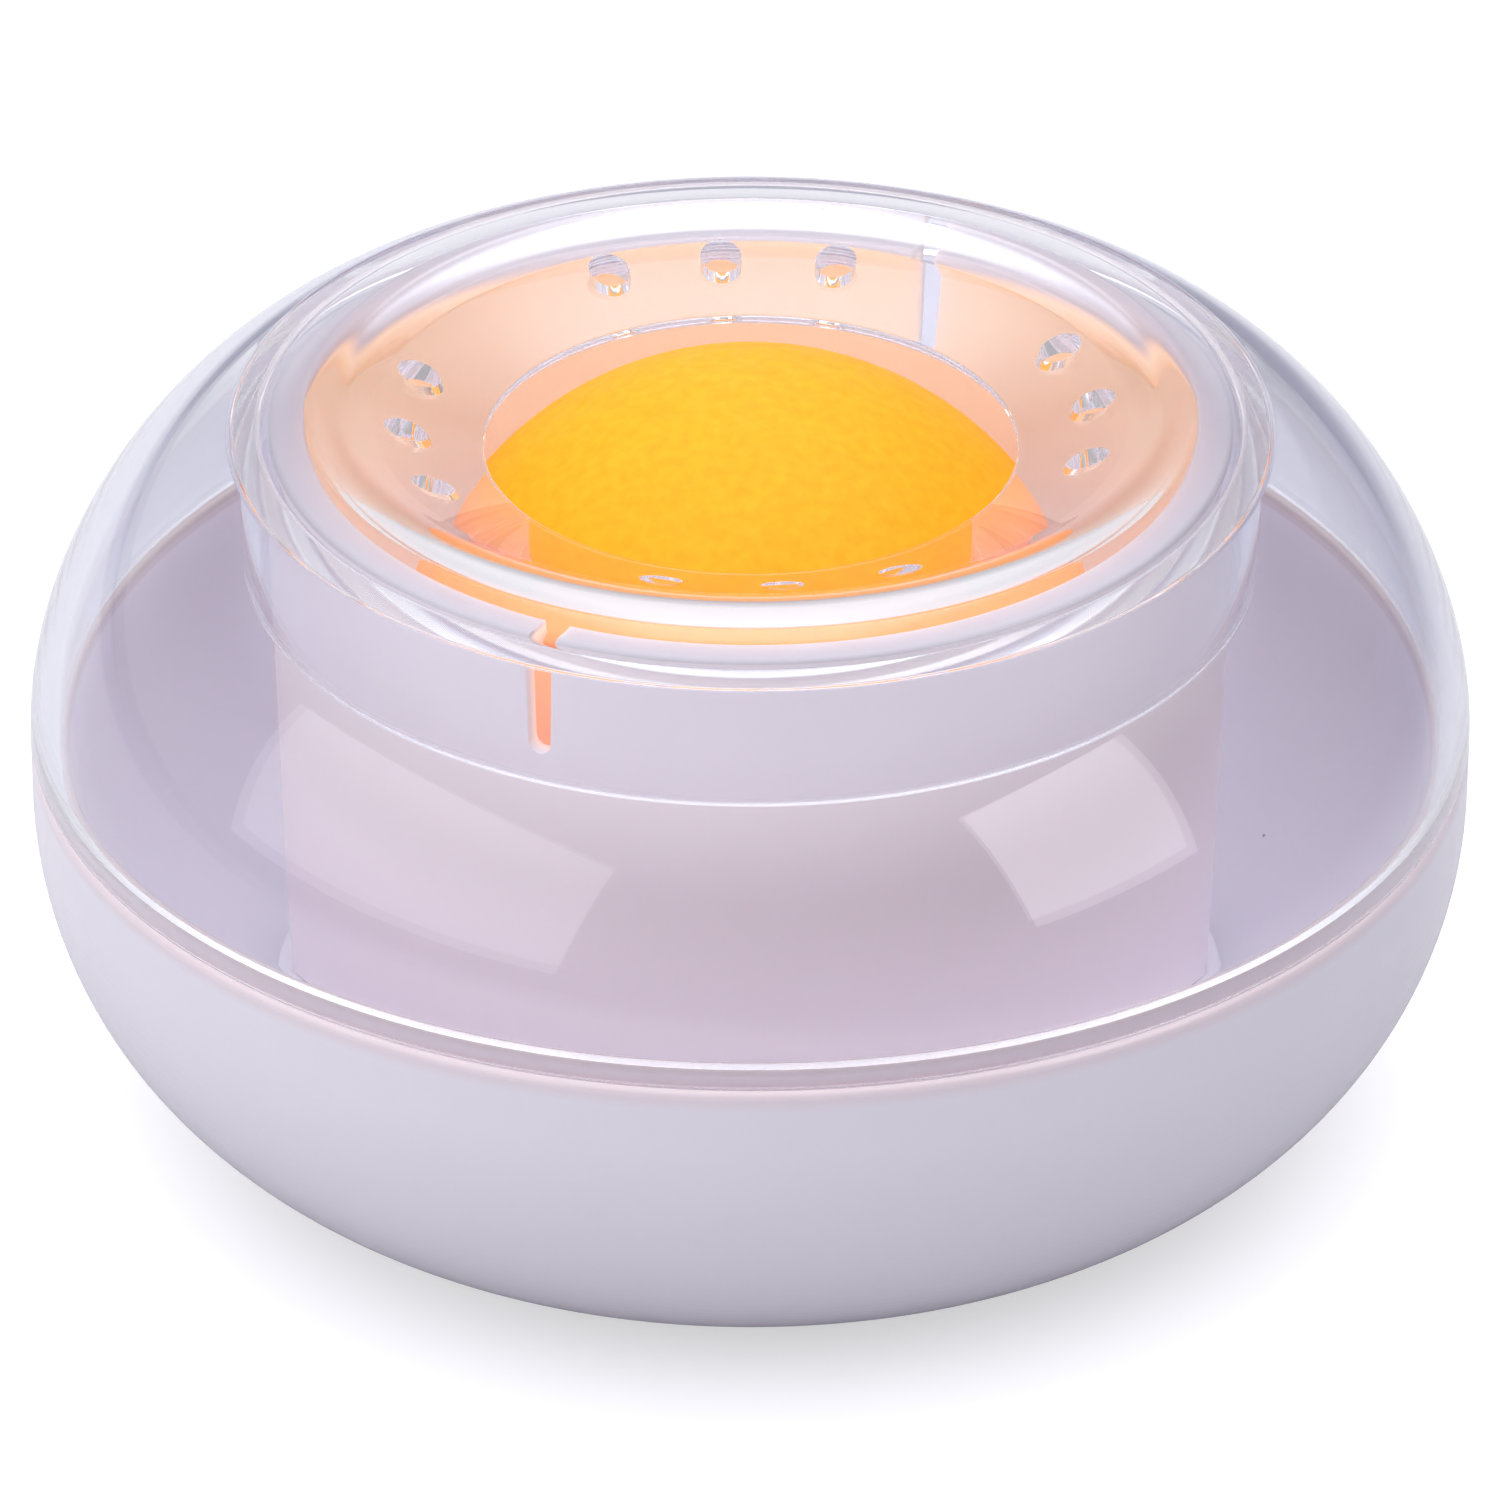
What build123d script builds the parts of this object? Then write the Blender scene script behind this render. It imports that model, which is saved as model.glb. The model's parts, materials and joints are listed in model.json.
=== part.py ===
"""Finger moistener: white bowl, water cup, loose hollow ball and clear lift-off cover with a dished mouth."""

import math
import os

from build123d import *

# Driving dimensions in millimetres and degrees; the desk is z = 0 and the axis of the body is +Z

# Ball
ball_diameter = 40.0
ball_wall = 1.0
weld_lap = 1.0  # overlap of the stepped rims of the two halves
weld_gap = 0.02
weld_normal = (-0.712, 0.386, 0.587)  # square to the weld line as the ball lies in its cup

# Bowl
body_diameter = 82.0
joint_height = 24.1  # desk to the joint line between bowl and cover
bowl_wall = 1.6  # floor and round underside
bowl_side_wall = 2.1  # upright side, up to the lip
bowl_side = 3.7  # upright band under the joint line
bowl_round_width = 19.7  # how far the round underside reaches in from the side
foot_trim = 0.3  # depth of the round underside that the flat foot cuts off
foot_recess = 0.6
foot_width = 5.0
joint_rounding = 0.4
lip_height = 1.0
lip_rounding = 0.25
lip_gap = 0.1  # between the lip of the bowl and the rim of the cover

# Cup
cup_wall = 1.0
cup_floor = 1.1
cup_draft = 0.2
cup_rim_drop = 2.45  # crest of the cover down to the rim of the cup
cup_rim_rounding = 0.3
cup_corner = 1.5  # inner corner between floor and wall
ball_side_gap = 5.9  # ball to the cup wall at the rim
ball_floor_gap = 1.04  # ball to the cup floor
slot_width = 1.2
slot_depth = 6.6
slot_azimuth = 245.5
rib_count = 4
rib_azimuth = 20.0
rib_wall = 1.2
rib_inner = 6.0  # radius where a rib starts
rib_reach = 14.0  # radius where a rib stops following the ball
rib_gap = 0.3  # between a rib and the ball

# Socket in the bowl that holds the foot of the cup
socket_depth = 2.4
socket_wall = 1.2
socket_gap = 0.05
ledge_width = 1.5
ledge_rise = 0.2  # ledge above the inside of the bowl at the socket

# Cover
cover_wall = 1.6
edge_wall = 0.6  # thickness that the dish tapers to at the edge of the finger opening
rim_wall = 0.75  # part of the cover that hangs outside the lip of the bowl
rim_rounding = 0.2
ball_proud = 0.55  # top of the ball above the crest
dish_depth = 3.15  # crest down to the edge of the finger opening
dish_width = 9.0  # edge of the finger opening out to the crest
dish_floor_width = 7.3
dish_floor_rise = 2.75
opening_gap = 1.7  # ball to the lower edge of the finger opening
opening_rounding = 0.25
dome_side_fullness = 0.443  # length of the upright handle of the dome curve, as a share of its height
dome_crest_fullness = 0.501  # length of the level handle at the crest, as a share of its width
drain_diameter = 2.4
drain_offset = 4.4  # edge of the finger opening out to the drain ring
drain_groups = 4
drains_per_group = 3
drain_pitch = 19.8
drain_azimuth = 5.2
skirt_wall = 0.95
skirt_gap = 0.55  # between the rim of the cup and the skirt
skirt_overlap = 7.9  # how far the skirt hangs below the rim of the cup
skirt_rounding = 0.3

# Sizes worked out from those above
ball_radius = ball_diameter / 2
body_radius = body_diameter / 2
shoulder_height = joint_height - bowl_side
round_centre = body_radius - bowl_round_width
round_height = shoulder_height + foot_trim
bowl_floor_top = foot_recess + bowl_wall
lip_outer = body_radius - rim_wall - lip_gap
lip_top = joint_height + lip_height

cup_height = cup_floor + ball_floor_gap + ball_diameter - ball_proud - cup_rim_drop
cup_rim_radius = ball_radius + ball_side_gap + cup_wall
cup_slope = math.tan(math.radians(cup_draft))
cup_base_radius = cup_rim_radius - cup_height * cup_slope
socket_inner = cup_base_radius + socket_depth * cup_slope + socket_gap
socket_outer = socket_inner + socket_wall
ledge_inner = cup_base_radius - ledge_width
socket_share = (socket_outer - round_centre) / (bowl_round_width - bowl_side_wall)
socket_ground = shoulder_height - (round_height - bowl_wall) * math.sqrt(1 - socket_share**2)
cup_seat = max(socket_ground, bowl_floor_top) + ledge_rise
cup_floor_top = cup_seat + cup_floor
cup_rim = cup_seat + cup_height
ball_height = cup_floor_top + ball_floor_gap + ball_radius

crest_height = ball_height + ball_radius - ball_proud
edge_top = crest_height - dish_depth
edge_bottom = edge_top - edge_wall
opening_radius = math.sqrt((ball_radius + opening_gap) ** 2 - (edge_bottom - ball_height) ** 2)
crest_radius = opening_radius + dish_width
dish_edge_radius = opening_radius + dish_floor_width
dish_edge_height = edge_top + dish_floor_rise
rabbet_radius = body_radius - rim_wall
rabbet_top = lip_top + lip_gap
drain_ring = opening_radius + drain_offset
skirt_inner = cup_rim_radius + skirt_gap
skirt_outer = skirt_inner + skirt_wall
skirt_bottom = cup_rim - skirt_overlap


def round_arc(share, lowest):
    """Bowl curve at a share of the wall, from its lowest point up to the upright side, on the open line builder."""
    width = bowl_round_width - share * bowl_side_wall
    height = round_height - share * bowl_wall
    angle = math.degrees(math.asin((shoulder_height - lowest) / height))
    centre = (round_centre, shoulder_height)
    return EllipticalCenterArc(centre, width, height, start_angle=-angle, arc_size=angle)


def dome_curve(inset):
    """Dome curve set in by inset, from the upright side at the joint to the level crest, on the open line builder."""
    side = body_radius - inset
    top = crest_height - inset
    side_handle = joint_height + dome_side_fullness * (top - joint_height)
    crest_handle = crest_radius + dome_crest_fullness * (side - crest_radius)
    return Bezier((side, joint_height), (side, side_handle), (crest_handle, top), (crest_radius, top))


def corner(section, point):
    """Corner of the open sketch that lies nearest to point."""
    return section.vertices().sort_by_distance(point)[0]


os.makedirs("parts", exist_ok=True)

# Bowl: the socket ring is trimmed to the middle of the wall, then the turned shell is added around it
with BuildPart() as base_bowl:
    with BuildSketch(Plane.XZ):
        with BuildLine():
            Polyline(
                (ledge_inner, 0),
                (socket_outer, 0),
                (socket_outer, cup_seat + socket_depth),
                (socket_inner, cup_seat + socket_depth),
                (socket_inner, cup_seat),
                (ledge_inner, cup_seat),
                close=True,
            )
        make_face()
    revolve(axis=Axis.Z)
    with BuildSketch(Plane.XZ):
        with BuildLine():
            middle = round_arc(0.5, foot_recess + bowl_wall / 2)
            Polyline(
                middle @ 1,
                (body_radius - bowl_side_wall / 2, joint_height),
                (0, joint_height),
                (0, foot_recess + bowl_wall / 2),
                middle @ 0,
            )
        make_face()
    revolve(axis=Axis.Z, mode=Mode.INTERSECT)
    with BuildSketch(Plane.XZ) as bowl_section:
        with BuildLine():
            outside = round_arc(0, 0)
            inside = round_arc(1, bowl_floor_top)
            foot_edge = (outside @ 0).X - foot_width
            Polyline(
                outside @ 1,
                (body_radius, joint_height),
                (lip_outer, joint_height),
                (lip_outer, lip_top),
                (body_radius - bowl_side_wall, lip_top),
                inside @ 1,
            )
            Polyline(
                inside @ 0,
                (0, bowl_floor_top),
                (0, foot_recess),
                (foot_edge, foot_recess),
                (foot_edge, 0),
                outside @ 0,
            )
        make_face()
        fillet(corner(bowl_section, (body_radius, joint_height)), joint_rounding)
        fillet(corner(bowl_section, (lip_outer, lip_top)), lip_rounding)
        fillet(corner(bowl_section, (body_radius - bowl_side_wall, lip_top)), lip_rounding)
    revolve(axis=Axis.Z)
base_bowl.part.label = "base_bowl"
export_step(base_bowl.part, "parts/base_bowl.step")

# Cradle rib: an upright web of the cup whose edge follows the ball
rib_top = ball_height - math.sqrt((ball_radius + rib_gap) ** 2 - rib_reach**2)
rib_foot = cup_seat + cup_floor / 2
with BuildPart() as cradle_rib:
    with BuildSketch(Plane.XZ):
        with BuildLine():
            Polyline(
                (rib_inner, rib_foot),
                (cup_base_radius + (rib_foot - cup_seat) * cup_slope - cup_wall / 2, rib_foot),
                (cup_base_radius + (rib_top - cup_seat) * cup_slope - cup_wall / 2, rib_top),
                (rib_inner, rib_top),
                close=True,
            )
        make_face()
        with Locations((0, ball_height)):
            Circle(ball_radius + rib_gap, mode=Mode.SUBTRACT)
    extrude(amount=rib_wall / 2, both=True)

# Cup: turned wall and floor, the ribs, and one cut that makes both rim slots
slot_outward = Vector(1, 0, 0).rotate(Axis.Z, slot_azimuth)
slot_across = Vector(0, 1, 0).rotate(Axis.Z, slot_azimuth)
with BuildPart() as water_cup:
    with BuildSketch(Plane.XZ) as cup_section:
        inner_base = (cup_base_radius + cup_floor * cup_slope - cup_wall, cup_floor_top)
        with BuildLine():
            Polyline(
                (0, cup_seat),
                (cup_base_radius, cup_seat),
                (cup_rim_radius, cup_rim),
                (cup_rim_radius - cup_wall, cup_rim),
                inner_base,
                (0, cup_floor_top),
                close=True,
            )
        make_face()
        fillet(corner(cup_section, (cup_rim_radius, cup_rim)), cup_rim_rounding)
        fillet(corner(cup_section, (cup_rim_radius - cup_wall, cup_rim)), cup_rim_rounding)
        fillet(corner(cup_section, inner_base), cup_corner)
    revolve(axis=Axis.Z)
    with PolarLocations(0, rib_count, start_angle=rib_azimuth):
        add(cradle_rib.part)
    with BuildSketch(Plane(origin=(0, 0, cup_rim), x_dir=slot_across, z_dir=slot_outward)):
        SlotOverall(2 * slot_depth, slot_width, rotation=90)
    extrude(amount=cup_rim_radius + cup_wall, both=True, mode=Mode.SUBTRACT)
water_cup.part.label = "water_cup"
export_step(water_cup.part, "parts/water_cup.step")

# Cover: the skirt is trimmed to the middle of the dome wall, then dome, crest and dish are turned in one piece
with BuildPart() as clear_cover:
    with BuildSketch(Plane.XY.offset(skirt_bottom)):
        Circle(skirt_outer)
        Circle(skirt_inner, mode=Mode.SUBTRACT)
    extrude(amount=crest_height - skirt_bottom)
    fillet(clear_cover.edges().group_by(Axis.Z)[0], skirt_rounding)
    with BuildSketch(Plane.XZ):
        with BuildLine():
            middle = dome_curve(cover_wall / 2)
            Polyline(middle @ 1, (0, crest_height - cover_wall / 2), (0, joint_height), middle @ 0)
        make_face()
    revolve(axis=Axis.Z, mode=Mode.INTERSECT)
    with BuildSketch(Plane.XZ) as cover_section:
        fold = crest_radius - dish_edge_radius
        floor_slope = dish_floor_rise / dish_floor_width
        with BuildLine():
            outside = dome_curve(0)
            inside = dome_curve(cover_wall)
            Bezier(
                (crest_radius, crest_height),
                (crest_radius - fold / 2, crest_height),
                (dish_edge_radius + fold / 3, dish_edge_height + floor_slope * fold / 3),
                (dish_edge_radius, dish_edge_height),
            )
            Polyline(
                (dish_edge_radius, dish_edge_height),
                (opening_radius, edge_top),
                (opening_radius, edge_bottom),
                (dish_edge_radius, dish_edge_height - cover_wall),
                inside @ 1,
            )
            Line(inside @ 0, outside @ 0)
        make_face()
        with Locations((rabbet_radius, joint_height)):
            Rectangle(cover_wall, rabbet_top - joint_height, align=(Align.MAX, Align.MIN), mode=Mode.SUBTRACT)
        fillet(corner(cover_section, (opening_radius, edge_top)), opening_rounding)
        fillet(corner(cover_section, (opening_radius, edge_bottom)), opening_rounding)
        fillet(corner(cover_section, (body_radius, joint_height)), rim_rounding)
    revolve(axis=Axis.Z)
    with BuildSketch(Plane.XY.offset(edge_bottom)):
        for group in range(drain_groups):
            middle_azimuth = drain_azimuth + group * 360 / drain_groups
            spread = drain_pitch * (drains_per_group - 1)
            first = middle_azimuth - spread / 2
            with PolarLocations(drain_ring, drains_per_group, first, spread, endpoint=True):
                Circle(drain_diameter / 2)
    extrude(amount=crest_height - edge_bottom, mode=Mode.SUBTRACT)
clear_cover.part.label = "clear_cover"
export_step(clear_cover.part, "parts/clear_cover.step")

# Ball halves: two shells whose stepped rims lap at the weld
weld_plane = Plane(origin=(0, 0, ball_height), z_dir=weld_normal)
tongue_radius = ball_radius - ball_wall / 2
below_weld = (Align.CENTER, Align.CENTER, Align.MAX)
with BuildPart(weld_plane) as ball_upper_half:
    Sphere(ball_radius, arc_size1=0, align=None)
    Cylinder(tongue_radius, weld_lap, align=below_weld)
    Sphere(ball_radius - ball_wall, mode=Mode.SUBTRACT)
ball_upper_half.part.label = "ball_upper_half"
export_step(ball_upper_half.part, "parts/ball_upper_half.step")

with BuildPart(weld_plane) as ball_lower_half:
    Sphere(ball_radius, arc_size2=0, align=None)
    Cylinder(tongue_radius + weld_gap, weld_lap + weld_gap, align=below_weld, mode=Mode.SUBTRACT)
    Sphere(ball_radius - ball_wall, mode=Mode.SUBTRACT)
ball_lower_half.part.label = "ball_lower_half"
export_step(ball_lower_half.part, "parts/ball_lower_half.step")
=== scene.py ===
import json
import math

import bpy
from mathutils import Matrix, Vector


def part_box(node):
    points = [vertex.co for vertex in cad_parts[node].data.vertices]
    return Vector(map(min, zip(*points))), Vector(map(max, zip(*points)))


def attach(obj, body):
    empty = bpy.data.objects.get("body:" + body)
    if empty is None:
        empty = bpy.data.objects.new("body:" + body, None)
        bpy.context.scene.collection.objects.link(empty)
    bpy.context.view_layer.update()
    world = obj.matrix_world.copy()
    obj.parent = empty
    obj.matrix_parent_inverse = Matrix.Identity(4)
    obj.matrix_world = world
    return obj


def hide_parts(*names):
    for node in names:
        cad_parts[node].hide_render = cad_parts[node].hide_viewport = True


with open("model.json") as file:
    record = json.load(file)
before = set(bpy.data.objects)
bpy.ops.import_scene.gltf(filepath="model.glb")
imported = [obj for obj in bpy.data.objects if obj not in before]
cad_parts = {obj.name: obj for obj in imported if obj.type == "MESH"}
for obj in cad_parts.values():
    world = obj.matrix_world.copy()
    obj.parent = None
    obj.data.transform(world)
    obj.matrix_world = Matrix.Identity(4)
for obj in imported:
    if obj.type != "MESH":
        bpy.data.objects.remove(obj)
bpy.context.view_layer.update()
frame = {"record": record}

# Base bowl: the white lower half, one glossy injection moulding with a round underside and a flat foot ring.
# Its rim steps in to a thin lip that the cover drops over, and a low ring inside holds the foot of the cup.
MM = 0.001
body_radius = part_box("base_bowl")[1].x
joint_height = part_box("clear_cover")[0].z
lip_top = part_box("base_bowl")[1].z
bowl_wall = 1.6 * MM
bowl_side_wall = 2.1 * MM
bowl_round_width = 19.7 * MM
bowl_shoulder = joint_height - 3.7 * MM
bowl_round_height = bowl_shoulder + 0.3 * MM
bowl_round_centre = body_radius - bowl_round_width
bowl_floor = 2.2 * MM
foot_recess = 0.6 * MM
foot_width = 5.0 * MM
foot_rounding = 0.5 * MM
foot_inner_rounding = 0.25 * MM
shoulder_rounding = 0.6 * MM
lip_outer = body_radius - 0.85 * MM
lip_rounding = 0.3 * MM
cup_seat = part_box("water_cup")[0].z
socket_top = cup_seat + 2.4 * MM
socket_inner = 26.83 * MM
socket_outer = socket_inner + 1.2 * MM
socket_ledge = socket_inner - 1.56 * MM
socket_rounding = 0.4 * MM
TURN_STEPS = 256
SMOOTH_ANGLE = math.radians(30)


def ellipse_points(centre, radii, first, last, steps):
    """Points of an elliptic arc in the section plane, angles in degrees from the outward direction."""
    angles = [math.radians(first + (last - first) * i / steps) for i in range(steps + 1)]
    return [(centre[0] + radii[0] * math.cos(a), centre[1] + radii[1] * math.sin(a)) for a in angles]


def round_corner(corner, before, after, radius, steps=6):
    """Points of the round that replaces a corner between two straight runs of the section."""
    corner, before, after = Vector(corner), Vector(before), Vector(after)
    arm_in = (before - corner).normalized()
    arm_out = (after - corner).normalized()
    half = arm_in.angle(arm_out) / 2
    reach = radius / math.tan(half)
    centre = corner + (arm_in + arm_out).normalized() * radius / math.sin(half)
    start = corner + arm_in * reach - centre
    end = corner + arm_out * reach - centre
    turn = start.angle_signed(end)
    return [tuple(centre + Matrix.Rotation(-turn * i / steps, 2) @ start) for i in range(steps + 1)]


def held(outline):
    """Adds a point close to each end of long straight runs, so that smooth shading stays flat along them."""
    long_run = 0.6 * MM
    end_gap = 0.03 * MM
    points = [outline[0]]
    for start, end in zip(outline, outline[1:]):
        run = Vector(end) - Vector(start)
        if run.length > long_run:
            step = run.normalized() * end_gap
            points += [tuple(Vector(start) + step), tuple(Vector(end) - step)]
        points.append(end)
    return points


def turned(name, outline):
    """Draws a section of radius and height points vertex by vertex and spins it once around the axis."""
    outline = held(outline)
    bpy.ops.object.select_all(action="DESELECT")
    bpy.ops.mesh.primitive_plane_add(size=MM)
    piece = bpy.context.object
    piece.name = name
    bpy.ops.object.mode_set(mode="EDIT")
    bpy.ops.mesh.merge(type="CENTER")
    bpy.ops.transform.translate(value=(outline[0][0], 0, outline[0][1]))
    for (r0, z0), (r1, z1) in zip(outline, outline[1:]):
        bpy.ops.mesh.extrude_region_move(TRANSFORM_OT_translate={"value": (r1 - r0, 0, z1 - z0)})
    bpy.ops.mesh.select_all(action="SELECT")
    bpy.ops.mesh.spin(steps=TURN_STEPS, angle=math.tau, center=(0, 0, 0), axis=(0, 0, 1))
    bpy.ops.mesh.select_all(action="SELECT")
    bpy.ops.mesh.remove_doubles(threshold=1e-6)
    bpy.ops.mesh.normals_make_consistent(inside=False)
    bpy.ops.object.mode_set(mode="OBJECT")
    bpy.ops.object.shade_smooth_by_angle(angle=SMOOTH_ANGLE)
    return piece


outer_foot_angle = math.degrees(math.asin(bowl_shoulder / bowl_round_height))
inner_height = bowl_round_height - bowl_wall
inner_width = bowl_round_width - bowl_side_wall
socket_share = (socket_outer - bowl_round_centre) / inner_width
socket_angle = math.degrees(math.acos(socket_share))
bowl_round = (bowl_round_centre, bowl_shoulder)
under_radii = (bowl_round_width, bowl_round_height)
under_arc = ellipse_points(bowl_round, under_radii, -outer_foot_angle, 0, steps=40)
clear_of_foot = 3
inside_arc = ellipse_points(bowl_round, (inner_width, inner_height), 0, -socket_angle, steps=36)
foot_outer = under_arc[0][0]
foot_inner = foot_outer - foot_width
bowl_outline = [(0, foot_recess)]
bowl_outline += round_corner(
    (foot_inner, foot_recess), (0, foot_recess), (foot_inner, 0), foot_inner_rounding
)
bowl_outline += round_corner(
    (foot_inner, 0), (foot_inner, foot_recess), (foot_outer, 0), foot_inner_rounding
)
bowl_outline += round_corner((foot_outer, 0), (foot_inner, 0), under_arc[clear_of_foot], foot_rounding)
bowl_outline += under_arc[clear_of_foot:]
bowl_outline += round_corner(
    (body_radius, joint_height), (body_radius, bowl_shoulder), (lip_outer, joint_height), shoulder_rounding
)
bowl_outline += [(lip_outer, joint_height)]
lip_inner = body_radius - bowl_side_wall
bowl_outline += round_corner(
    (lip_outer, lip_top), (lip_outer, joint_height), (lip_inner, lip_top), lip_rounding
)
bowl_outline += round_corner(
    (lip_inner, lip_top), (lip_outer, lip_top), (lip_inner, joint_height), lip_rounding
)
bowl_outline += inside_arc
bowl_outline += round_corner(
    (socket_outer, socket_top), inside_arc[-1], (socket_inner, socket_top), socket_rounding
)
bowl_outline += round_corner(
    (socket_inner, socket_top), (socket_outer, socket_top), (socket_inner, cup_seat), socket_rounding
)
bowl_outline += [(socket_inner, cup_seat), (socket_ledge, cup_seat)]
bowl_outline += [(socket_ledge, bowl_floor), (0, bowl_floor)]
bowl = turned("bowl", bowl_outline)


def plastic(name):
    """New material of one principled shader, with its shader and its node tree."""
    material = bpy.data.materials.new(name)
    material.use_nodes = True
    tree = material.node_tree
    return material, tree.nodes["Principled BSDF"], tree


def node(tree, kind, values=None, **settings):
    """Adds a shader node, sets its options and its unlinked inputs."""
    made = tree.nodes.new("ShaderNode" + kind)
    for name, value in settings.items():
        setattr(made, name, value)
    for name, value in (values or {}).items():
        made.inputs[name].default_value = value
    return made


def cloud(tree, scale, detail):
    """Soft noise around a half on the piece's own coordinates, scale in waves per metre."""
    place = node(tree, "TexCoord")
    texture = node(tree, "TexNoise", {"Scale": scale, "Detail": detail})
    tree.links.new(place.outputs["Object"], texture.inputs["Vector"])
    return texture.outputs["Fac"]


def noise(tree, scale, detail, low, high):
    """The same noise, most of it between 0.25 and 0.75, spread from low to high."""
    spread = node(tree, "MapRange", {"From Min": 0.25, "From Max": 0.75, "To Min": low, "To Max": high})
    tree.links.new(cloud(tree, scale, detail), spread.inputs["Value"])
    return spread.outputs["Result"]


def blend(tree, share, first, second):
    """Mixes two colours, given as values or as sockets, by a share."""
    mix = node(tree, "Mix", data_type="RGBA")
    for socket, colour in (("A_Color", first), ("B_Color", second)):
        target = next(i for i in mix.inputs if i.identifier == socket)
        if isinstance(colour, tuple):
            target.default_value = (*colour, 1)
        else:
            tree.links.new(colour, target)
    tree.links.new(share, mix.inputs[0])
    return next(o for o in mix.outputs if o.identifier == "Result_Color")


def height_share(tree, low, high):
    """Share that rises from 0 to 1 between two heights of the piece."""
    place = node(tree, "TexCoord")
    axes = node(tree, "SeparateXYZ")
    spread = node(tree, "MapRange", {"From Min": low, "From Max": high})
    tree.links.new(place.outputs["Object"], axes.inputs[0])
    tree.links.new(axes.outputs["Z"], spread.inputs["Value"])
    return spread.outputs["Result"]


def radius_share(tree, low, high):
    """Share that rises from 0 to 1 between two distances from the axis."""
    place = node(tree, "TexCoord")
    level = node(tree, "VectorMath", {1: (1, 1, 0)}, operation="MULTIPLY")
    distance = node(tree, "VectorMath", operation="LENGTH")
    spread = node(tree, "MapRange", {"From Min": low, "From Max": high})
    tree.links.new(place.outputs["Object"], level.inputs[0])
    tree.links.new(level.outputs["Vector"], distance.inputs[0])
    tree.links.new(distance.outputs["Value"], spread.inputs["Value"])
    return spread.outputs["Result"]


def specks(tree, spacing, radius, share):
    """Sparse round specks of foreign matter in the plastic, as a mask."""
    place = node(tree, "TexCoord")
    cells = node(tree, "TexVoronoi", {"Scale": 1 / spacing})
    near = node(tree, "Math", {1: radius / spacing}, operation="LESS_THAN")
    some = node(tree, "Math", {1: share}, operation="LESS_THAN")
    both = node(tree, "Math", operation="MULTIPLY")
    red = node(tree, "SeparateColor")
    tree.links.new(place.outputs["Object"], cells.inputs["Vector"])
    tree.links.new(cells.outputs["Distance"], near.inputs[0])
    tree.links.new(cells.outputs["Color"], red.inputs[0])
    tree.links.new(red.outputs[0], some.inputs[0])
    tree.links.new(near.outputs[0], both.inputs[0])
    tree.links.new(some.outputs[0], both.inputs[1])
    return both.outputs[0]


def ripple(tree, shader, scale, detail, depth):
    """Uneven skin of a moulding: noise as bump, scale in waves per metre and depth in metres."""
    bump = node(tree, "Bump", {"Distance": depth})
    tree.links.new(cloud(tree, scale, detail), bump.inputs["Height"])
    tree.links.new(bump.outputs["Normal"], shader.inputs["Normal"])


shell_dark = (0.675, 0.655, 0.71)
shell_light = (0.695, 0.67, 0.73)
rim_painted_tint = (0.63, 0.54, 0.58)
lip_painted_shade = (0.6, 0.53, 0.57)
lip_top_painted_shade = (0.42, 0.35, 0.36)
speck_tint = (0.12, 0.10, 0.12)
skin_depth = 0.001 * MM
bowl_white, shader, tree = plastic("bowl_white_gloss")
shell_colour = blend(tree, noise(tree, scale=45, detail=3, low=0, high=1), shell_dark, shell_light)
# Painted light and shade: the rim and its lip are painted a warm grey, darkest on top, for the shade of the
# cover's edge and the warm light from the ball.
painted_rim_share = node(tree, "Math", operation="MULTIPLY")
tree.links.new(height_share(tree, joint_height - 1.3 * MM, joint_height - 0.2 * MM), painted_rim_share.inputs[0])
tree.links.new(radius_share(tree, lip_inner + 0.3 * MM, lip_outer), painted_rim_share.inputs[1])
shell_with_painted_shade = blend(tree, painted_rim_share.outputs[0], shell_colour, rim_painted_tint)
# Painted shade on the lip, darker again on its top.
lip_shade_share = height_share(tree, joint_height + 0.1 * MM, joint_height + 0.3 * MM)
shell_with_painted_shade = blend(tree, lip_shade_share, shell_with_painted_shade, lip_painted_shade)
lip_top_shade_share = height_share(tree, lip_top - 0.45 * MM, lip_top - 0.15 * MM)
shell_with_painted_shade = blend(tree, lip_top_shade_share, shell_with_painted_shade, lip_top_painted_shade)
speck_share = specks(tree, spacing=9 * MM, radius=0.11 * MM, share=0.5)
speck_colour = blend(tree, speck_share, shell_with_painted_shade, speck_tint)
tree.links.new(speck_colour, shader.inputs["Base Color"])
tree.links.new(noise(tree, scale=300, detail=2, low=0.16, high=0.26), shader.inputs["Roughness"])
ripple(tree, shader, scale=900, detail=2, depth=skin_depth)
shader.inputs["Subsurface Weight"].default_value = 0.35
shader.inputs["Subsurface Radius"].default_value = (1.0, 0.75, 0.8)
shader.inputs["Subsurface Scale"].default_value = 3 * MM
bowl.data.materials.append(bowl_white)
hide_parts("base_bowl")
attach(bowl, "base")

# Water cup: a deep thin cup moulded in the same white plastic, let into the ring on the bowl's floor.
# Four webs on its floor cradle the ball, and two opposite slots in the rim let water run back.
cup_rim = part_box("water_cup")[1].z
cup_rim_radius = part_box("water_cup")[1].x
cup_wall = 1.0 * MM
cup_rim_wall = 2.2 * MM
cup_bead = 1.0 * MM
cup_floor_wall = 1.1 * MM
cup_floor_top = cup_seat + cup_floor_wall
cup_slope = math.tan(math.radians(0.2))
cup_base_radius = cup_rim_radius - (cup_rim - cup_seat) * cup_slope
cup_inner_base = cup_base_radius + cup_floor_wall * cup_slope - cup_wall
cup_rim_rounding = 0.35 * MM
cup_corner = 1.5 * MM
slot_width = 1.65 * MM
slot_foot_width = 1.3 * MM
slot_depth = 6.6 * MM
slot_azimuth = math.radians(245.5)
slot_overrun = 4 * MM
ball_radius = 20.0 * MM
ball_height = frame["record"]["behaviour"]["joints"][1]["pos_m"][2]
rib_count = 4
rib_azimuth = math.radians(20)
rib_wall = 1.2 * MM
rib_inner = 6.0 * MM
rib_reach = 14.0 * MM
rib_gap = 0.3 * MM
rib_root = 0.5 * MM

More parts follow.
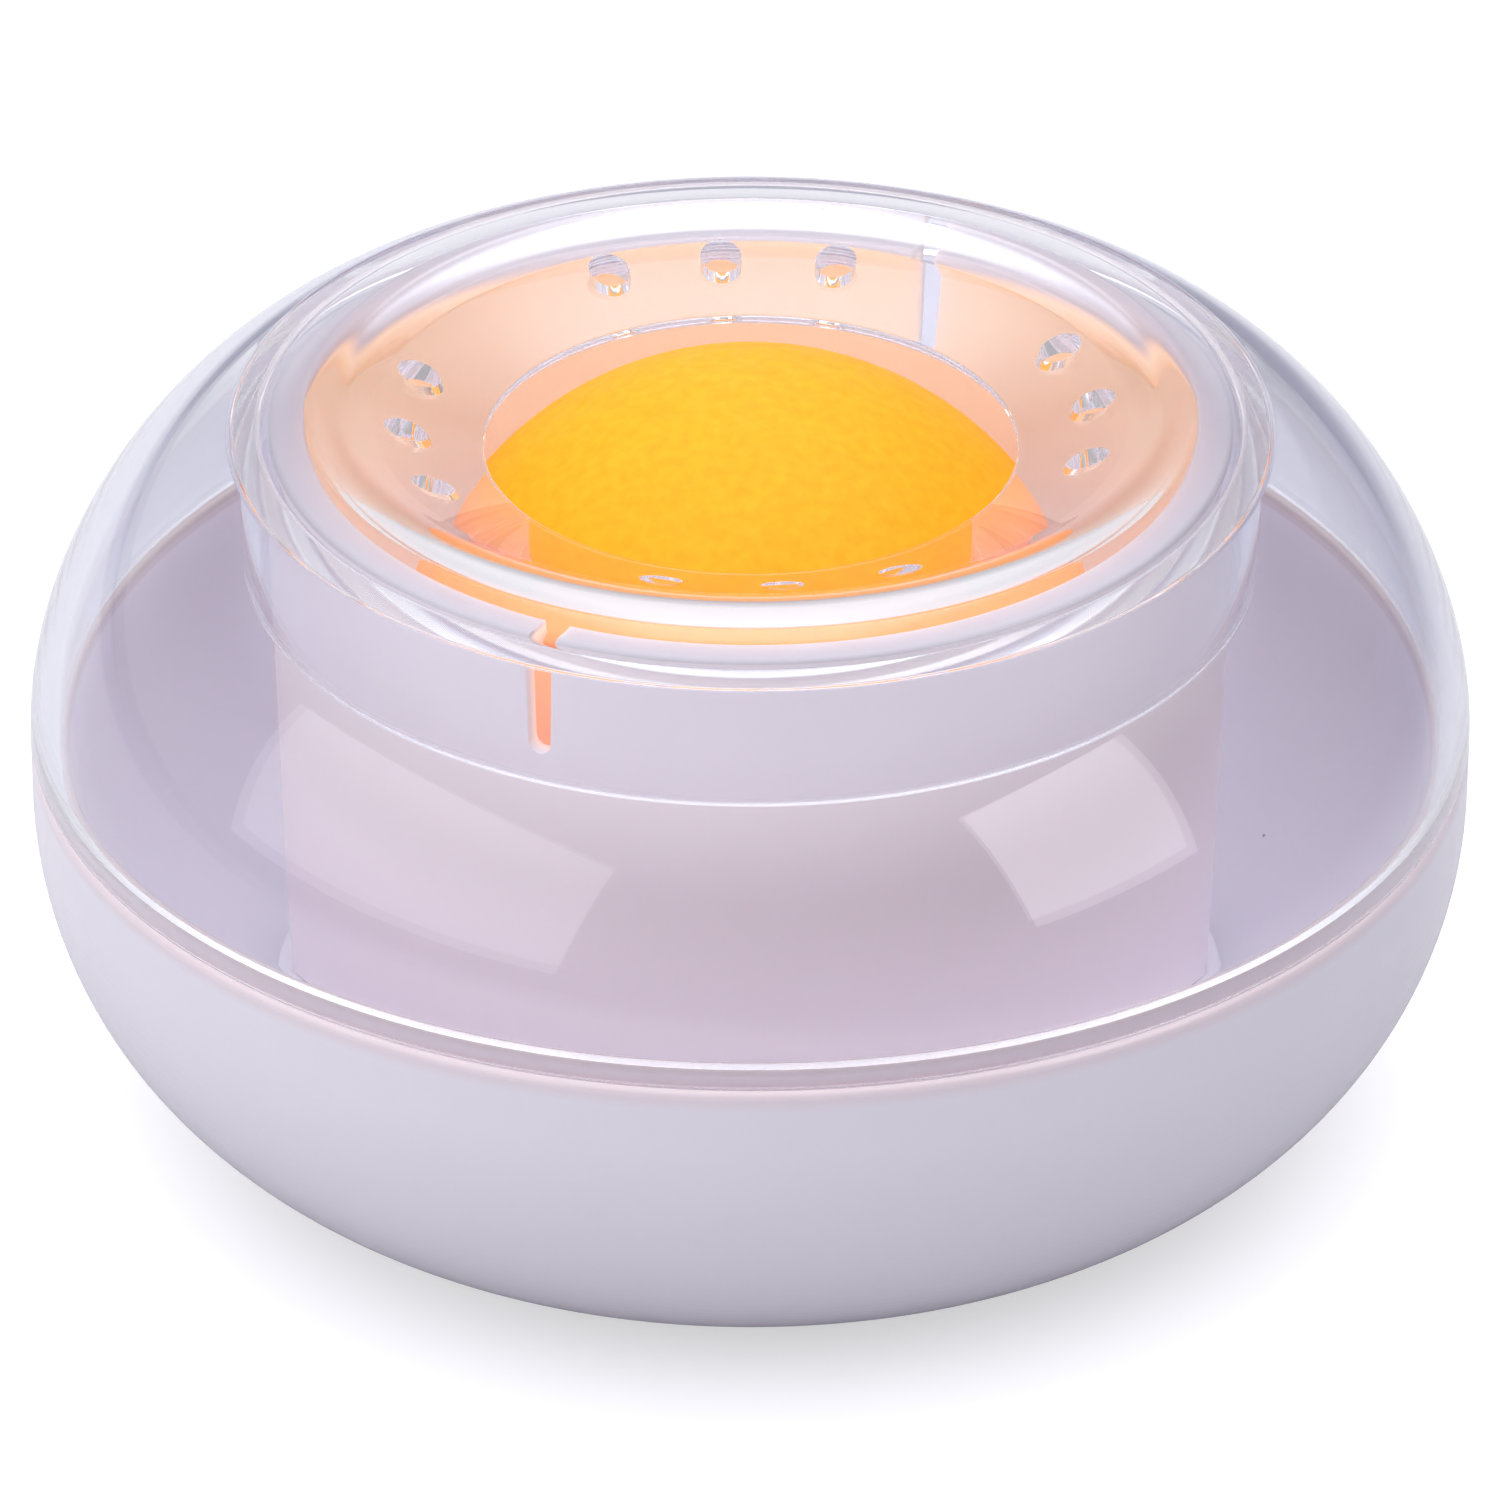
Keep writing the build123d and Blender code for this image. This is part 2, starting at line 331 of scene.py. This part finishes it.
rim_outer_corner = (cup_rim_radius, cup_rim)
rim_inner_corner = (cup_rim_radius - cup_rim_wall, cup_rim)
bead_corner = (cup_rim_radius - cup_rim_wall, cup_rim - cup_bead)
wall_corner = (cup_rim_radius - cup_wall, cup_rim - cup_bead - (cup_rim_wall - cup_wall))
base_corner = (cup_base_radius, cup_seat)
floor_corner = (cup_inner_base, cup_floor_top)
cup_outline = [(0, cup_seat)]
cup_outline += round_corner(base_corner, (0, cup_seat), rim_outer_corner, cup_rim_rounding)
cup_outline += round_corner(rim_outer_corner, base_corner, rim_inner_corner, cup_rim_rounding)
cup_outline += round_corner(rim_inner_corner, rim_outer_corner, bead_corner, cup_rim_rounding)
cup_outline += [bead_corner, wall_corner]
cup_outline += round_corner(floor_corner, wall_corner, (0, cup_floor_top), cup_corner, steps=10)
cup_outline += [(0, cup_floor_top)]
cup = turned("cup", cup_outline)


def boolean(piece, tool, operation):
    """Combines a piece with a tool body and deletes the tool."""
    bpy.ops.object.select_all(action="DESELECT")
    bpy.context.view_layer.objects.active = piece
    cut = piece.modifiers.new("cut", "BOOLEAN")
    cut.object = tool
    cut.operation = operation
    cut.solver = "EXACT"
    bpy.ops.object.modifier_apply(modifier=cut.name)
    bpy.data.objects.remove(tool)


def drawn_plate(name, outline, thickness):
    """Flat plate with the given outline in the XZ plane, centred on that plane."""
    bpy.ops.object.select_all(action="DESELECT")
    bpy.ops.mesh.primitive_plane_add(size=MM)
    plate = bpy.context.object
    plate.name = name
    bpy.ops.object.mode_set(mode="EDIT")
    bpy.ops.mesh.merge(type="CENTER")
    bpy.ops.transform.translate(value=(outline[0][0], -thickness / 2, outline[0][1]))
    for (x0, z0), (x1, z1) in zip(outline, outline[1:]):
        bpy.ops.mesh.extrude_region_move(TRANSFORM_OT_translate={"value": (x1 - x0, 0, z1 - z0)})
    bpy.ops.mesh.select_all(action="SELECT")
    bpy.ops.mesh.edge_face_add()
    bpy.ops.mesh.extrude_region_move(TRANSFORM_OT_translate={"value": (0, thickness, 0)})
    bpy.ops.mesh.select_all(action="SELECT")
    bpy.ops.mesh.normals_make_consistent(inside=False)
    bpy.ops.object.mode_set(mode="OBJECT")
    return plate


def swing(tool, azimuth):
    """Turns the mesh of a tool body around the axis."""
    tool.data.transform(Matrix.Rotation(azimuth, 4, "Z"))


rib_clear = ball_radius + rib_gap
rib_top = ball_height - math.sqrt(rib_clear**2 - rib_reach**2)
rib_foot = cup_seat + rib_root
rib_start = math.degrees(math.asin(rib_inner / rib_clear)) - 90
rib_end = math.degrees(math.asin(rib_reach / rib_clear)) - 90
rib_outline = [(rib_inner, rib_foot)]
rib_outline += ellipse_points((0, ball_height), (rib_clear, rib_clear), rib_start, rib_end, steps=16)
rib_outline += [(cup_base_radius - cup_wall / 2, rib_top), (cup_base_radius - cup_wall / 2, rib_foot)]
for number in range(rib_count):
    rib = drawn_plate("rib", rib_outline, rib_wall)
    swing(rib, rib_azimuth + number * math.tau / rib_count)
    boolean(cup, rib, "UNION")

slot_round = slot_foot_width / 2
slot_middle = (0, cup_rim - slot_depth + slot_round)
slot_outline = ellipse_points(slot_middle, (slot_round, slot_round), 0, -180, steps=16)
slot_outline += [(-slot_width / 2, cup_rim + slot_width), (slot_width / 2, cup_rim + slot_width)]
slot_tool = drawn_plate("slot", slot_outline, 2 * cup_rim_radius + slot_overrun)
swing(slot_tool, slot_azimuth - math.radians(90))
boolean(cup, slot_tool, "DIFFERENCE")
bpy.context.view_layer.objects.active = cup
cup.select_set(True)
bpy.ops.object.shade_smooth_by_angle(angle=SMOOTH_ANGLE)

cup_foot_painted_light = (1.0, 0.92, 0.97)
cup_top_painted_shade = (0.69, 0.63, 0.665)
cup_cloud_tint = (0.95, 0.85, 0.92)
cup_inside_painted_glow = (1.0, 0.76, 0.57)
cup_rim_painted_shade = (0.38, 0.35, 0.39)
cup_white, shader, tree = plastic("cup_white_satin")
# Painted light and shade: the wall is painted lighter at the foot and darker towards the rim, and its inside
# is painted warm for the light from the ball.
top_shade_share = height_share(tree, 10 * MM, cup_rim - 7 * MM)
wall_with_painted_light = blend(tree, top_shade_share, cup_foot_painted_light, cup_top_painted_shade)
wall_with_painted_light = blend(tree, noise(tree, scale=60, detail=3, low=0, high=0.12), wall_with_painted_light, cup_cloud_tint)
# Painted light: the warm inside stands in for light thrown by the ball.
inside_share = radius_share(tree, cup_rim_radius - 0.35 * MM, cup_rim_radius - 0.75 * MM)
wall_with_painted_light = blend(tree, inside_share, wall_with_painted_light, cup_inside_painted_glow)
# Painted shade: the top of the rim is darkened for the shade of the cover.
painted_rim_share = height_share(tree, cup_rim - 0.5 * MM, cup_rim - 0.2 * MM)
wall_with_painted_light = blend(tree, painted_rim_share, wall_with_painted_light, cup_rim_painted_shade)
tree.links.new(wall_with_painted_light, shader.inputs["Base Color"])
tree.links.new(noise(tree, scale=400, detail=2, low=0.3, high=0.42), shader.inputs["Roughness"])
ripple(tree, shader, scale=1200, detail=2, depth=skin_depth)
glow = node(tree, "MapRange", {"To Min": 0.2, "To Max": 1.0})
tree.links.new(inside_share, glow.inputs["Value"])
tree.links.new(glow.outputs["Result"], shader.inputs["Subsurface Weight"])
shader.inputs["Subsurface Radius"].default_value = (1.0, 0.9, 0.85)
shader.inputs["Subsurface Scale"].default_value = 5 * MM
cup.data.materials.append(cup_white)
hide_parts("water_cup")
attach(cup, "base")

# Roller ball: two thin orange shells welded together along a tilted line, loose in the cup's cradle.
# The outside is left matt and slightly mottled by the moulding.
weld_normal = Vector((-0.712, 0.386, 0.587)).normalized()
ball_wall = 1.0 * MM
weld_groove = 0.05 * MM
ball_centre = Vector((0, 0, ball_height))


def ball_half(name, side):
    """One half shell of the ball: a sphere cut at the weld plane and given its wall."""
    bpy.ops.object.select_all(action="DESELECT")
    bpy.ops.mesh.primitive_uv_sphere_add(segments=192, ring_count=96, radius=ball_radius)
    half = bpy.context.object
    half.name = name
    turn = Vector((0, 0, 1)).rotation_difference(weld_normal).to_matrix().to_4x4()
    half.data.transform(Matrix.Translation(ball_centre) @ turn)
    bpy.ops.object.mode_set(mode="EDIT")
    bpy.ops.mesh.select_all(action="SELECT")
    bpy.ops.mesh.bisect(
        plane_co=ball_centre + weld_normal * weld_groove * side,
        plane_no=weld_normal * side,
        clear_inner=True,
    )
    bpy.ops.object.mode_set(mode="OBJECT")
    wall = half.modifiers.new("wall", "SOLIDIFY")
    wall.thickness = ball_wall
    wall.offset = -1
    bpy.ops.object.modifier_apply(modifier=wall.name)
    bpy.ops.object.shade_smooth_by_angle(angle=SMOOTH_ANGLE)
    return half


deep_orange = (0.95, 0.33, 0.002)
light_orange = (1.0, 0.4, 0.008)
ball_orange, shader, tree = plastic("ball_orange_matt")
mottle = blend(tree, noise(tree, scale=1300, detail=5, low=0, high=1), deep_orange, light_orange)
tree.links.new(mottle, shader.inputs["Base Color"])
tree.links.new(noise(tree, scale=900, detail=3, low=0.48, high=0.62), shader.inputs["Roughness"])
ripple(tree, shader, scale=1800, detail=4, depth=0.01 * MM)
shader.inputs["Specular IOR Level"].default_value = 0.2
for name, solid, side in (("ball_upper", "ball_upper_half", 1), ("ball_lower", "ball_lower_half", -1)):
    half = ball_half(name, side)
    half.data.materials.append(ball_orange)
    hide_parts(solid)
    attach(half, "ball")

# Clear cover: one moulding in crystal plastic, a dome that turns over a rounded crest into a shallow dish.
# The dish has the finger opening and groups of drain holes, and a thin skirt hangs around the cup.
cover_wall = 1.6 * MM
edge_wall = 0.6 * MM
crest_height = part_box("clear_cover")[1].z
opening_radius = 14.98 * MM
crest_radius = opening_radius + 9.0 * MM
edge_top = crest_height - 3.15 * MM
edge_bottom = edge_top - edge_wall
dish_edge = (opening_radius + 7.3 * MM, edge_top + 2.75 * MM)
under_crest_shift = 0.8 * MM
under_fold_drop = 0.1 * MM
under_fold_rounding = 1.5 * MM
opening_rounding = 0.29 * MM
dome_side_fullness = 0.443
dome_crest_fullness = 0.501
rabbet_radius = body_radius - 0.75 * MM
rabbet_top = lip_top + 0.1 * MM
rim_rounding = 0.2 * MM
skirt_inner = cup_rim_radius + 0.55 * MM
skirt_outer = skirt_inner + 0.95 * MM
skirt_bottom = cup_rim - 7.9 * MM
skirt_rounding = 0.3 * MM
skirt_fillet = 0.5 * MM
junction_rounding = 0.4 * MM
junction_rise = 0.1 * MM
DOME_STEPS = 96
drain_radius = 1.2 * MM
drain_ring = opening_radius + 4.4 * MM
drain_groups = 4
drains_per_group = 3
drain_pitch = math.radians(19.8)
drain_azimuth = math.radians(5.2)
drain_tool_depth = 8 * MM
drain_tool_height = edge_top + 1.5 * MM


def bezier_points(start, start_handle, end_handle, end, steps):
    """Points of a cubic curve in the section plane."""
    corners = [Vector(p) for p in (start, start_handle, end_handle, end)]
    points = []
    for i in range(steps + 1):
        t = i / steps
        weights = ((1 - t) ** 3, 3 * t * (1 - t) ** 2, 3 * t * t * (1 - t), t**3)
        points.append(tuple(sum((c * w for c, w in zip(corners, weights)), Vector((0, 0)))))
    return points


def dome_points(inset):
    """Dome section set in by inset, from the upright side at the joint to the level crest."""
    side = body_radius - inset
    top = crest_height - inset
    side_handle = joint_height + dome_side_fullness * (top - joint_height)
    crest_handle = crest_radius + dome_crest_fullness * (side - crest_radius)
    side_points = ((side, joint_height), (side, side_handle))
    crest_points = ((crest_handle, top), (crest_radius, top))
    return bezier_points(*side_points, *crest_points, DOME_STEPS)


fold = crest_radius - dish_edge[0]
floor_slope = (dish_edge[1] - edge_top) / (dish_edge[0] - opening_radius)
fold_points = bezier_points(
    (crest_radius, crest_height),
    (crest_radius - fold / 2, crest_height),
    (dish_edge[0] + fold / 3, dish_edge[1] + floor_slope * fold / 3),
    dish_edge,
    steps=12,
)
under_crest_radius = crest_radius + under_crest_shift
under_dome = [p for p in dome_points(cover_wall) if p[1] > rabbet_top]
under_outside = [p for p in under_dome if p[0] > skirt_outer + skirt_fillet]
under_inside = [p for p in under_dome if under_crest_radius < p[0] < skirt_inner - skirt_fillet]
under_skirt = min(under_dome, key=lambda p: abs(p[0] - (skirt_inner + skirt_outer) / 2))
inner_junction = (skirt_inner, under_skirt[1] + junction_rise)
outer_junction = (skirt_outer, under_skirt[1] - junction_rise)
cover_outline = [(rabbet_radius, joint_height)]
cover_outline += round_corner(
    (body_radius, joint_height), (rabbet_radius, joint_height), (body_radius, rabbet_top), rim_rounding
)
cover_outline += [p for p in dome_points(0) if p[1] > joint_height + rim_rounding]
cover_outline += fold_points[1:]
cover_outline += round_corner(
    (opening_radius, edge_top), dish_edge, (opening_radius, edge_bottom), opening_rounding
)
under_fold = (dish_edge[0] - under_crest_shift, dish_edge[1] - cover_wall - under_fold_drop)
cover_outline += round_corner(
    (opening_radius, edge_bottom), (opening_radius, edge_top), under_fold, opening_rounding
)
cover_outline += round_corner(
    under_fold, (opening_radius, edge_bottom), under_inside[-1], under_fold_rounding
)
cover_outline += reversed(under_inside)
cover_outline += round_corner(
    inner_junction, under_inside[0], (skirt_inner, skirt_bottom), junction_rounding
)
cover_outline += round_corner(
    (skirt_inner, skirt_bottom), (skirt_inner, edge_bottom), (skirt_outer, skirt_bottom), skirt_rounding
)
cover_outline += round_corner(
    (skirt_outer, skirt_bottom), (skirt_inner, skirt_bottom), (skirt_outer, edge_bottom), skirt_rounding
)
cover_outline += round_corner(
    outer_junction, (skirt_outer, skirt_bottom), under_outside[-1], junction_rounding
)
cover_outline += reversed(under_outside)
cover_outline += [(under_outside[0][0], rabbet_top), (rabbet_radius, rabbet_top)]
cover_outline += [(rabbet_radius, joint_height)]
cover = turned("cover", cover_outline)

bpy.ops.object.select_all(action="DESELECT")
for group in range(drain_groups):
    for number in range(drains_per_group):
        azimuth = drain_azimuth + group * math.tau / drain_groups + (number - 1) * drain_pitch
        bpy.ops.mesh.primitive_cylinder_add(
            vertices=48,
            radius=drain_radius,
            depth=drain_tool_depth,
            location=(drain_ring * math.cos(azimuth), drain_ring * math.sin(azimuth), drain_tool_height),
        )
        drain_tool = bpy.context.object
        bpy.ops.object.transform_apply(location=True, rotation=True, scale=True)
        boolean(cover, drain_tool, "DIFFERENCE")
bpy.context.view_layer.objects.active = cover
cover.select_set(True)
bpy.ops.object.shade_smooth_by_angle(angle=SMOOTH_ANGLE)

cover_tint = (0.9, 0.9, 0.95)
seat_matt = 0.3
edge_matt = 0.45
cover_clear, shader, tree = plastic("cover_crystal_clear")
shader.inputs["Base Color"].default_value = (*cover_tint, 1)
shader.inputs["IOR"].default_value = 1.53
shader.inputs["Transmission Weight"].default_value = 1.0
# The mould leaves the step over the bowl's lip and the lower edge of the skirt slightly matt.
seat_share = node(tree, "Math", operation="MULTIPLY")
tree.links.new(height_share(tree, rabbet_top + 0.05 * MM, rabbet_top + 0.01 * MM), seat_share.inputs[0])
tree.links.new(radius_share(tree, rabbet_radius + 0.3 * MM, rabbet_radius + 0.1 * MM), seat_share.inputs[1])
edge_share = node(tree, "Math", operation="MULTIPLY")
tree.links.new(height_share(tree, skirt_bottom + 0.4 * MM, skirt_bottom + 0.2 * MM), edge_share.inputs[0])
tree.links.new(radius_share(tree, skirt_outer + 0.5 * MM, skirt_outer + 0.2 * MM), edge_share.inputs[1])
seat_haze = node(tree, "Math", {1: seat_matt}, operation="MULTIPLY_ADD")
tree.links.new(seat_share.outputs[0], seat_haze.inputs[0])
tree.links.new(noise(tree, scale=250, detail=3, low=0, high=0.03), seat_haze.inputs[2])
edge_haze = node(tree, "Math", {1: edge_matt}, operation="MULTIPLY_ADD")
tree.links.new(edge_share.outputs[0], edge_haze.inputs[0])
tree.links.new(seat_haze.outputs[0], edge_haze.inputs[2])
tree.links.new(edge_haze.outputs[0], shader.inputs["Roughness"])
ripple(tree, shader, scale=60, detail=1, depth=0.005 * MM)
cover.data.materials.append(cover_clear)
# Light reaches the white pieces through the clear wall, so the cover neither shades nor tints them.
cover.visible_shadow = False
cover.visible_diffuse = False
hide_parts("clear_cover")
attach(cover, "cover")

# Studio: a pale table top that reaches further to the left than to the right, in a dim room with a bright
# ceiling, a pale wall and a high window behind. The camera sees the table and the room as plain white;
# reflections and clear plastic show the room, never darker than a light grey.
floor_size = 6.0
table_middle = -0.24
table_reach = (0.3, 0.4)
table_tint = (0.54, 0.54, 0.57)
far_tint = (0.2, 0.2, 0.25)
table_lift = 0.54
far_extra_lift = 0.36
bpy.ops.object.select_all(action="DESELECT")
bpy.ops.mesh.primitive_plane_add(size=floor_size)
floor = bpy.context.object
floor.name = "floor"
floor_white, shader, tree = plastic("floor_white")
shader.inputs["Roughness"].default_value = 0.9
place = node(tree, "TexCoord")
reach = node(tree, "VectorMath", {1: (table_middle, 0, 0)}, operation="DISTANCE")
far = node(tree, "MapRange", {"From Min": table_reach[0], "From Max": table_reach[1]})
# The lift is seen by the camera alone and keeps the table white out to its far parts.
level = node(tree, "Math", {1: far_extra_lift, 2: table_lift}, operation="MULTIPLY_ADD")
path = node(tree, "LightPath")
lift = node(tree, "Math", operation="MULTIPLY")
tree.links.new(place.outputs["Object"], reach.inputs[0])
tree.links.new(reach.outputs["Value"], far.inputs["Value"])
tree.links.new(far.outputs["Result"], level.inputs[0])
tree.links.new(level.outputs[0], lift.inputs[0])
tree.links.new(path.outputs["Is Camera Ray"], lift.inputs[1])
table_colour = blend(tree, far.outputs["Result"], table_tint, far_tint)
tree.links.new(table_colour, shader.inputs["Base Color"])
tree.links.new(lift.outputs[0], shader.inputs["Emission Strength"])
shader.inputs["Emission Color"].default_value = (1, 1, 1, 1)
floor.data.materials.append(floor_white)

front_level = 0.32
back_level = 0.7
right_share = 0.5
shade_level = -0.5
upper_level = 0.45
ceiling_level = 2.5
wall_level = 0.33
window_level = 2.0
backdrop_level = 0.36
world = bpy.data.worlds.new("studio")
bpy.context.scene.world = world
world.use_nodes = True
tree = world.node_tree
sky = tree.nodes["Background"]
sky.inputs["Color"].default_value = (0.97, 0.97, 1, 1)
place = node(tree, "TexCoord")
axes = node(tree, "SeparateXYZ")
tree.links.new(place.outputs["Generated"], axes.inputs[0])


def sum_up(tree, operation, first, second):
    """Joins two values, sockets or plain numbers, with one operation."""
    step = node(tree, "Math", operation=operation)
    for slot, value in enumerate((first, second)):
        if isinstance(value, (int, float)):
            step.inputs[slot].default_value = value
        else:
            tree.links.new(value, step.inputs[slot])
    return step.outputs[0]


def ramp(tree, value, near, far, low, high):
    """Soft change from low to high while a value goes from near to far."""
    step = node(tree, "MapRange", {"From Min": near, "From Max": far}, interpolation_type="SMOOTHSTEP")
    tree.links.new(value, step.inputs["Value"])
    for name, limit in (("To Min", low), ("To Max", high)):
        if isinstance(limit, (int, float)):
            step.inputs[name].default_value = limit
        else:
            tree.links.new(limit, step.inputs[name])
    return step.outputs["Result"]


def patch(tree, axes, strength, height, side, height_reach, side_reach):
    """Soft patch of the room in degrees, side 0 straight behind, each reach an inner and an outer angle."""
    up = sum_up(tree, "ARCSINE", axes.outputs["Z"], 0)
    aside = sum_up(tree, "ARCTAN2", axes.outputs["X"], axes.outputs["Y"])
    share = strength
    for angle, middle, reach in ((up, height, height_reach), (aside, side, side_reach)):
        away = sum_up(tree, "ABSOLUTE", sum_up(tree, "SUBTRACT", angle, math.radians(middle)), 0)
        fade = ramp(tree, away, math.radians(reach[0]), math.radians(reach[1]), 1, 0)
        share = sum_up(tree, "MULTIPLY", fade, share)
    return share


horizon = ramp(tree, axes.outputs["Y"], near=-0.5, far=0.5, low=front_level, high=back_level)
dimming = ramp(tree, axes.outputs["X"], near=0.35, far=0.9, low=1, high=right_share)
horizon = sum_up(tree, "MULTIPLY", horizon, dimming)
shade = patch(tree, axes, shade_level, height=0, side=29, height_reach=(7, 13), side_reach=(9, 16))
horizon = sum_up(tree, "ADD", horizon, shade)
room = ramp(tree, axes.outputs["Z"], near=0.05, far=0.45, low=horizon, high=upper_level)
room = ramp(tree, axes.outputs["Z"], near=0.4, far=0.95, low=room, high=ceiling_level)
window = patch(tree, axes, window_level, height=44.5, side=0, height_reach=(8, 13), side_reach=(4, 11))
wall = patch(tree, axes, wall_level, height=11, side=0, height_reach=(9, 16), side_reach=(14, 26))
path = node(tree, "LightPath")
room = sum_up(tree, "ADD", sum_up(tree, "ADD", room, wall), window)
clear_ray = sum_up(tree, "MAXIMUM", path.outputs["Is Glossy Ray"], path.outputs["Is Transmission Ray"])
room = sum_up(tree, "MAXIMUM", room, sum_up(tree, "MULTIPLY", clear_ray, backdrop_level))
seen = sum_up(tree, "MAXIMUM", room, path.outputs["Is Camera Ray"])
tree.links.new(seen, sky.inputs["Strength"])

lamp_aim_height = 25 * MM


def softbox(name, azimuth, elevation, distance, width, height, power):
    """Area lamp that faces the object from a direction, azimuth 0 in front and positive to the right."""
    lamp = bpy.data.lights.new(name, "AREA")
    lamp.shape = "RECTANGLE"
    lamp.size = width
    lamp.size_y = height
    lamp.energy = power
    rig = bpy.data.objects.new(name, lamp)
    bpy.context.scene.collection.objects.link(rig)
    turn = math.radians(azimuth)
    climb = math.radians(elevation)
    level_reach = math.cos(climb)
    towards = Vector((math.sin(turn) * level_reach, -math.cos(turn) * level_reach, math.sin(climb)))
    rig.location = Vector((0, 0, lamp_aim_height)) + towards * distance
    rig.rotation_euler = towards.to_track_quat("Z", "Y").to_euler()
    return rig


softbox("left_box", azimuth=-57, elevation=21, distance=0.8, width=0.9, height=0.45, power=1.35)
right_box = softbox("right_box", azimuth=58, elevation=26, distance=0.8, width=0.42, height=0.42, power=1.1)
right_box.visible_diffuse = False

# Camera: a long lens at the photograph's height and turn, with the whole body in the square frame.
# Light passes many walls of clear plastic on its way, so rays may bounce often.
image_side = 1500
focal_pixels = 9907
view_elevation = 30.72
view_distance = 568.7 * MM
aim_height = 17.8 * MM
aim_pixel_below_middle = 52.5
view_roll = 0.152
lens = bpy.data.cameras.new("camera")
lens.sensor_width = 36
lens.lens = lens.sensor_width * focal_pixels / image_side
lens.clip_start = 0.01
camera = bpy.data.objects.new("camera", lens)
bpy.context.scene.collection.objects.link(camera)
rise = math.radians(view_elevation)
stand = Vector((0, -view_distance * math.cos(rise), aim_height + view_distance * math.sin(rise)))
tilt = math.radians(90 - view_elevation) + math.atan(aim_pixel_below_middle / focal_pixels)
tilt_turn = Matrix.Rotation(tilt, 4, "X")
roll_turn = Matrix.Rotation(math.radians(view_roll), 4, "Z")
camera.matrix_world = Matrix.Translation(stand) @ tilt_turn @ roll_turn
bpy.context.scene.camera = camera
bpy.context.scene.view_settings.view_transform = "Standard"
bpy.context.scene.cycles.max_bounces = 56
bpy.context.scene.cycles.diffuse_bounces = 12
bpy.context.scene.cycles.glossy_bounces = 48
bpy.context.scene.cycles.transmission_bounces = 48
